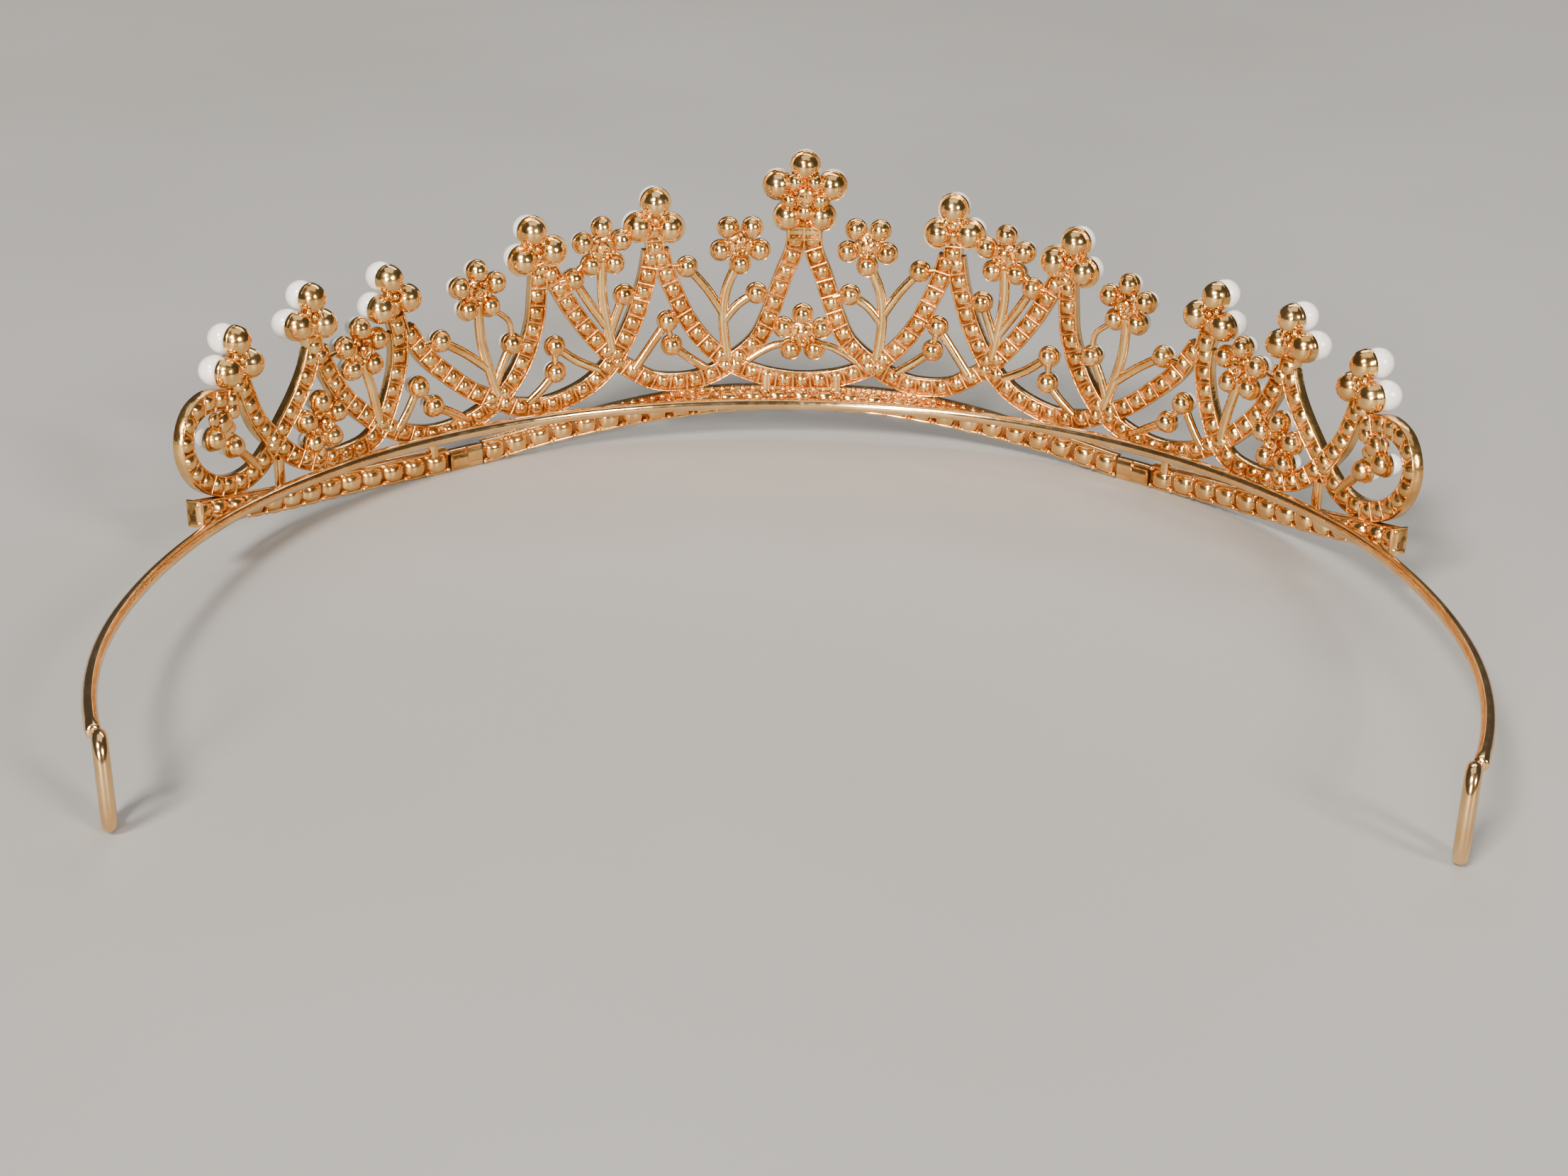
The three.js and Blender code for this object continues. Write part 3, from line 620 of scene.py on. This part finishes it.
def make_centre_crest():
    """Five big cups round a disc, with five small ones and a slotted boss on its back."""
    solid, pearls = Solid(), Solid()
    for place in petals(CENTRE_FLOWER, CENTRE_PETALS, 90):
        cup(solid, place, WIDE_DOME, WIDE_RIM - 0.08, CUP_FRONT)
        ball(pearls, place, PEARL_RADIUS, PEARL_OFFSET, 28)
    ball(pearls, CENTRE_FLOWER, PEARL_RADIUS, PEARL_OFFSET, 28)
    turned(solid, CENTRE_FLOWER, [(0, -1.1), (2.5, -1.0), (2.7, -0.7), (2.6, 0.1), (0, 0.1)], 24)
    for place in petals(CENTRE_FLOWER, 2.3, 54):
        cup(solid, place, 1.2, 1.32, -0.2, -0.8)
    boss = [(0, -1.9), (0.75, -1.9), (0.82, -2.5), (1.05, -2.65), (1.28, -2.5), (1.35, -1.0), (0, -1.0)]
    turned(solid, CENTRE_FLOWER, boss, 20)
    x, y = CENTRE_FLOWER
    for a, b in (((x - 0.8, y), (x + 0.8, y)), ((x, y - 0.8), (x, y + 0.8))):
        sweep(solid, [a, b], section_block(0.14, -2.45, -1.7, 0.05), 0.3)
    make_collar(solid)
    bent_piece("crest_cups_0", solid, "frieze_gold", 1, ("crest_0",))
    bent_piece("crest_pearls_back_0", pearls, "pearl", 1, ("crest_pearls_0",))


def make_sprigs():
    """A stem with a blossom on top, buds on its twigs, and bridges to the pieces beside it."""
    for k, sprig in enumerate(SPRIGS, 1):
        solid, pearls = Solid(), Solid()
        blossom(solid, pearls, sprig["blossom"], sprig["turn"])
        stem(solid, sprig["stem"], TRUNK_WIDTH)
        for twig in sprig["twigs"]:
            stem(solid, twig)
            bud(solid, pearls, twig[-1])
        for bar in sprig["bars"]:
            stem(solid, bar, BRIDGE_WIDTH)
        pair(f"sprig_back_{k}", solid, "frieze_gold", f"sprig_{k}")
        pair(f"sprig_pearls_{k}", pearls, "pearl")


def make_twigs():
    """Pairs of buds on stems inside the peaks, joined by a short bar."""
    for k, (first, second) in enumerate(TWIGS, 1):
        solid, pearls = Solid(), Solid()
        for twig in (first, second):
            stem(solid, twig)
            bud(solid, pearls, twig[-1])
        stem(solid, [first[-1], second[-1]], 0.9)
        pair(f"twig_back_{k}", solid, "frieze_gold", f"twig_{k}")
        pair(f"twig_pearls_{k}", pearls, "pearl")


def make_inner_blossoms():
    """Blossoms in the middle U, on an arch, and inside the fourth peaks, on a stalk."""
    solid, pearls = Solid(), Solid()
    blossom(solid, pearls, CENTRE_BLOSSOM, 90)
    stem(solid, ARCH + [(-x, y) for x, y in reversed(ARCH)], 1.1)
    bent_piece("centre_blossom_back", solid, "frieze_gold", 1, ("centre_blossom",))
    bent_piece("centre_blossom_pearls", pearls, "pearl")
    solid, pearls = Solid(), Solid()
    blossom(solid, pearls, SIDE_BLOSSOM, 90)
    stem(solid, SIDE_STALK)
    pair("side_blossom_back", solid, "frieze_gold", "side_blossom")
    pair("side_blossom_pearls", pearls, "pearl")


# ---- base rail -----------------------------------------------------------------------------------
RAIL_SAMPLES = spline(RAIL_LINE, 0.3)


def rail_floor(along):
    """Height of the rail's lower edge."""
    target = abs(along)
    for a, b in zip(RAIL_SAMPLES, RAIL_SAMPLES[1:]):
        if b.x >= target:
            return max(0, a.y + (b.y - a.y) * (target - a.x) / (b.x - a.x))
    return RAIL_SAMPLES[-1].y


def rail_bar(solid, start, end, low, high, back, front, round_by=0.1, step=1.0):
    """A long bar at a set height above the rail's lower edge."""
    count = max(1, round((end - start) / step))
    rings = []
    half = (high - low) / 2
    for i in range(count + 1):
        along = start + (end - start) * i / count
        middle = rail_floor(along) + (low + high) / 2
        rings.append([(along, middle + u, d) for u, d in section_block(half, back, front, round_by)])
    solid.rings(rings)


def rail_lip(solid, start, end, pitch, scallop, low, high, back, front):
    """A thin lip whose lower edge swells under every cell."""
    count = round((end - start) / pitch) * 6
    rings = []
    for i in range(count + 1):
        along = start + (end - start) * i / count
        floor = rail_floor(along)
        lift = scallop * (1 - abs(math.sin(math.pi * (along - start) / pitch)))
        r = 0.06
        edge, top = floor + low + lift, floor + high
        section = [(top, back + r), (top, front), (edge, front), (edge, back + r), (edge + r, back),
                   (top - r, back)]
        rings.append([(along, up, depth) for up, depth in section])
    solid.rings(rings)


def rail_length(solid, recess, stones, start, end):
    """One length of rail: a row of domed cups between two lips, with the stones in front."""
    cells = max(1, round((end - start) / CELL_PITCH))
    pitch = (end - start) / cells
    rail_lip(solid, start, end, pitch, 0.3, 0, 0.45, -0.45, 1.1)
    rail_lip(solid, start, end, pitch, 0, RAIL_HEIGHT - 0.35, RAIL_HEIGHT, -0.35, 0.1)
    # Back plate behind the cups: painted shade, a dark gold in place of the shadow in the gaps between
    # cups.
    rail_bar(recess, start, end, 0.3, RAIL_HEIGHT - 0.12, -0.15, 0.8)
    rail_bar(solid, start, end, 0.1, RAIL_HEIGHT, 0.7, 1.02)
    stone = [(0, -0.4), (1.55, 0.34), (1.56, 0.42), (0.95, 0.54), (0, 0.55)]
    for i in range(cells + 1):
        along = min(max(start + pitch * i, start + 0.2), end - 0.2)
        floor = rail_floor(along)
        for up in (0.45, RAIL_HEIGHT - 0.4):
            ball(solid, (along, floor + up), 0.4, -0.45, 10)
    for i in range(cells):
        middle = start + pitch * (i + 0.5)
        level = rail_floor(middle) + RAIL_HEIGHT / 2
        rise = rail_floor(middle + 1) - rail_floor(middle - 1)
        tilt = Vector((1, rise / 2)).normalized()
        pillow(solid, (middle, level), tilt, pitch / 2 - 0.2, 1.45, -0.1, 1.05, 8)
        turned(stones, (middle, level), stone, 8, 0.58)


def rail_ledge(solid):
    """The beaded ledge on top of the middle of the rail; it dies out towards the sides."""
    rings = []
    for i in range(2 * LEDGE_REACH + 1):
        along = i - LEDGE_REACH
        low, top = rail_floor(along) + RAIL_HEIGHT - 0.2, ledge_top(along)
        rings.append([(along, up, d) for up, d in ((top, -0.35), (top, 0.9), (low, 0.9), (low, -0.35))])
    solid.rings(rings)
    for i in range(int(2 * LEDGE_REACH / 1.5)):
        along = 0.75 + 1.5 * i - LEDGE_REACH
        ball(solid, (along, ledge_top(along) - 0.3), 0.5, -0.4, 10)


def ledge_top(along):
    swell = math.sin(math.pi * min(1, abs(along) / LEDGE_REACH))
    return rail_floor(along) + RAIL_HEIGHT + 0.05 + LEDGE_SWELL * swell


def rail_upright(solid, along, low, high, half, back, front, step, r=0.14):
    """An upright bar between two heights."""
    sweep(solid, [(along, low), (along, high)], section_block(half, back, front, r), step)


def make_rail_centre():
    start, end = -JOINT_PLATE[0] + JOINT_GAP, JOINT_PLATE[0] - JOINT_GAP
    solid, recess, stones = Solid(), Solid(), Solid()
    rail_length(solid, recess, stones, start, end)
    rail_ledge(solid)
    for along in (-BRACKET_PLACE, BRACKET_PLACE):
        floor = rail_floor(along)
        rail_upright(solid, along, floor + 3, floor + 5.6, 0.6, -0.7, 0.5, 0.6)
    bent_piece("rail_back_centre", solid, "rail_gold", 1, ("base_rail_centre",))
    bent_piece("rail_recess_centre", recess, "recess")
    bent_piece("rail_stones_centre", stones, "stone")


def make_rail_sides():
    """The outer lengths, with posts up to the garlands and a plate that closes the end."""
    solid, recess, stones = Solid(), Solid(), Solid()
    rail_length(solid, recess, stones, JOINT_PLATE[1] + JOINT_GAP, RAIL_END)
    for along, low, high in RAIL_POSTS:
        rail_upright(solid, along, low, high, 0.6, -0.6, 0.5, 0.8)
    end = RAIL_END - 0.2
    floor = rail_floor(end)
    rail_upright(solid, end, floor - 0.05, floor + RAIL_HEIGHT + 0.1, 0.2, -1.15, 1.15, 0.6, 0.06)
    pair("rail_back_side", solid, "rail_gold", "base_rail")
    pair("rail_recess_side", recess, "recess")
    pair("rail_stones_side", stones, "stone")


def make_rail_joints():
    """The plain plates between the lengths, each with two lapped bars on its back."""
    first, last = JOINT_PLATE
    middle = (first + last) / 2
    solid = Solid()
    rail_bar(solid, first + JOINT_GAP, last - JOINT_GAP, 0, RAIL_HEIGHT - 0.4, -0.55, 1.0, 0.25)
    rail_bar(solid, first + 0.3, middle - 0.1, 0.9, RAIL_HEIGHT - 0.2, -0.9, 0, 0.3)
    rail_bar(solid, middle - 0.3, last - 0.4, 0.4, RAIL_HEIGHT - 0.9, -0.8, 0, 0.3)
    pair("rail_joint_plate", solid, "rail_gold", "rail_joint")


# ---- headband wire -------------------------------------------------------------------------------
def wire_point(x, y):
    """A point on the wire's line, which climbs backwards and lifts a little near the middle."""
    lift = WIRE_LIFT * (1 + math.cos(math.pi * min(1, y / LIFT_FADES))) / 2
    return Vector((x, y, WIRE_BASE + WIRE_SLOPE * y + lift))


def arc_point(degrees):
    """A point on the round stretch of the wire that follows the frieze."""
    a = math.radians(degrees)
    return wire_point(WIRE_ARC_RADIUS * math.sin(a), FRIEZE_RADIUS - WIRE_ARC_RADIUS * math.cos(a))


def arm_point(distance, side):
    """The arm: a wide curve until it runs straight back, then a bend inwards."""
    start = math.radians(HINGE_ANGLE)
    first, second = ARM_RADII
    first_length = (math.pi / 2 - start) * first
    seam = arc_point(HINGE_ANGLE)
    centre_x = seam.x - first * math.sin(start)
    centre_y = seam.y + first * math.cos(start)
    if distance < first_length:
        angle = start + distance / first
        return wire_point(side * (centre_x + first * math.sin(angle)), centre_y - first * math.cos(angle))
    turn = (distance - first_length) / second
    x = centre_x + first - second * (1 - math.cos(turn))
    return wire_point(side * x, centre_y + second * math.sin(turn))


def tube(solid, points, radius, sides=20):
    """A round bar through points in space, flat at its first end and domed at its last."""
    last = len(points) - 1
    rings = []
    for i, p in enumerate(points):
        ahead = (points[min(last, i + 1)] - points[max(0, i - 1)]).normalized()
        rings.append((p, ahead, radius))
    tip, ahead, _ = rings[-1]
    for out, narrow in ((0.2, 0.93), (0.34, 0.75), (0.42, 0.4)):
        rings.append((tip + ahead * radius * out, ahead, radius * narrow))
    solid.rings([round_section(*ring, sides) for ring in rings])


def round_section(centre, ahead, radius, sides):
    """A ring of points square to a line that isn't upright."""
    side = ahead.cross(Vector((0, 0, 1))).normalized()
    other = side.cross(ahead).normalized()
    angles = [2 * math.pi * k / sides for k in range(sides)]
    return [centre + side * (radius * math.cos(a)) + other * (radius * math.sin(a)) for a in angles]


def loop_points(side):
    """The line of a pin loop: an upright oval with squarish ends, standing on the floor."""
    half_width = LOOP_WIDTH / 2 - WIRE_RADIUS
    half_height = LOOP_HEIGHT / 2 - WIRE_RADIUS
    turn = math.radians(LOOP_TURN)
    points = []
    for i in range(60):
        a = 2 * math.pi * i / 60
        c, s = math.cos(a), math.sin(a)
        out = half_width * math.copysign(abs(c) ** 0.8, c)
        rise = half_height * math.copysign(abs(s) ** 0.8, s)
        x = side * (LOOP_PLACE[0] - out * math.sin(turn))
        points.append(Vector((x, LOOP_PLACE[1] + out * math.cos(turn), LOOP_HEIGHT / 2 + rise)))
    return points


def loop_tube(solid, points, radius, sides=16):
    """A closed upright loop; its section turns with the loop's own plane."""
    count = len(points)
    centre = sum(points, Vector()) / count
    plane = (points[0] - centre).cross(points[count // 4] - centre).normalized()
    angles = [2 * math.pi * k / sides for k in range(sides)]
    rings = []
    for i, p in enumerate(points):
        ahead = (points[(i + 1) % count] - points[(i - 1) % count]).normalized()
        other = plane.cross(ahead).normalized()
        rings.append([p + plane * (radius * math.cos(a)) + other * (radius * math.sin(a)) for a in angles])
    solid.rings(rings, True)


def make_headband():
    """Each half of the wire is one piece, arc and arm together; the loops ride on the arms."""
    for word, side in SIDES.items():
        arc = [arc_point(HINGE_ANGLE * i / 60) for i in range(61)]
        half = [Vector((side * p.x, p.y, p.z)) for p in arc]
        half += [arm_point(ARM_LENGTH * i / 30, side) for i in range(1, 31)]
        solid = Solid()
        tube(solid, half, WIRE_RADIUS)
        nodes = (f"headband_arm_{word}",) + (("headband_wire",) if side > 0 else ())
        wire = piece(f"wire_{word}", solid, "wire_gold", in_row, None, nodes)
        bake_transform(wire)
        solid = Solid()
        loop_tube(solid, loop_points(side), WIRE_RADIUS)
        piece(f"pin_loop_ring_{word}", solid, "wire_gold", in_row, f"arm_{word}", (f"pin_loop_{word}",))


# ---- stage ---------------------------------------------------------------------------------------
def make_stage():
    """A wide pale floor in metres; lit as it is, this grey comes out pale."""
    material, nodes, links, shader, coords = new_material("floor", (0.8, 0.78, 0.75))
    drift = noise_node(nodes, links, coords, 6, 4)
    greys = [(0.3, (0.27, 0.264, 0.253)), (0.7, (0.31, 0.303, 0.291))]
    color = ramp(nodes, links, drift.outputs["Fac"], greys)
    links.new(color.outputs["Color"], shader.inputs["Base Color"])
    shader.inputs["Roughness"].default_value = 0.55
    size = 8.0
    corners = [(-size, -size, 0), (size, -size, 0), (size, size, 0), (-size, size, 0)]
    mesh = bpy.data.meshes.new("floor")
    mesh.from_pydata(corners, [], [(0, 1, 2, 3)])
    mesh.materials.append(material)
    floor = bpy.data.objects.new("floor", mesh)
    bpy.context.scene.collection.objects.link(floor)


def softbox(name, place, target, size, power, color):
    """A rectangular lamp that faces its target; metres and watts."""
    light = bpy.data.lights.new(name, "AREA")
    light.shape = "RECTANGLE"
    light.size, light.size_y = size
    light.energy = power
    light.color = color
    obj = bpy.data.objects.new(name, light)
    obj.location = place
    obj.rotation_euler = (Vector(target) - Vector(place)).to_track_quat("-Z", "Y").to_euler()
    bpy.context.scene.collection.objects.link(obj)


def make_lights():
    world = bpy.data.worlds.new("studio")
    world.use_nodes = True
    sky = world.node_tree.nodes["Background"]
    sky.inputs["Color"].default_value = (0.62, 0.6, 0.58, 1)
    sky.inputs["Strength"].default_value = 0.14
    bpy.context.scene.world = world
    middle = (0, -0.03, 0.02)
    softbox("key", (0.8, 1.45, 1.62), middle, (0.52, 0.52), 92, (1, 0.95, 0.88))
    softbox("fill", (-1.44, 1.61, 1.06), middle, (0.48, 0.48), 64, (1, 0.96, 0.9))
    softbox("front", (0.56, 1.89, 0.58), middle, (0.4, 0.4), 48, (1, 0.95, 0.9))
    softbox("rim", (-0.4, -1.71, 1.74), middle, (1.6, 0.48), 18, (1, 0.98, 0.95))
    softbox("overhead", (0, -0.3, 2.4), middle, (2.4, 2.0), 16, (1, 0.98, 0.95))


def make_camera():
    """The photograph's own view: the tiara from behind and a little above."""
    place = in_row((-2.96, 328.7, 125.9))
    yaw, pitch, roll = (math.radians(a) for a in (0.88, 24.71, 0.93))
    right, up, back = Vector((-1, 0, 0)), Vector((0, 0, 1)), Vector((0, 1, 0))
    turn = Matrix.Rotation(yaw, 3, "Z")
    right, up, back = turn @ right, turn @ up, turn @ back
    back, up = back * math.cos(pitch) + up * math.sin(pitch), up * math.cos(pitch) - back * math.sin(pitch)
    right, up = right * math.cos(roll) + up * math.sin(roll), up * math.cos(roll) - right * math.sin(roll)
    camera = bpy.data.cameras.new("camera")
    camera.sensor_width = 36
    camera.lens = 54.1
    camera.clip_start, camera.clip_end = 0.01, 20
    obj = bpy.data.objects.new("camera", camera)
    rotation = Matrix((right, up, back)).transposed()
    obj.matrix_world = Matrix.Translation(place) @ rotation.to_4x4()
    bpy.context.scene.collection.objects.link(obj)
    bpy.context.scene.camera = obj


make_garlands()
make_scrolls()
make_trefoils()
make_centre_crest()
make_sprigs()
make_twigs()
make_inner_blossoms()
make_rail_centre()
make_rail_sides()
make_rail_joints()
make_headband()
make_stage()
make_lights()
make_camera()
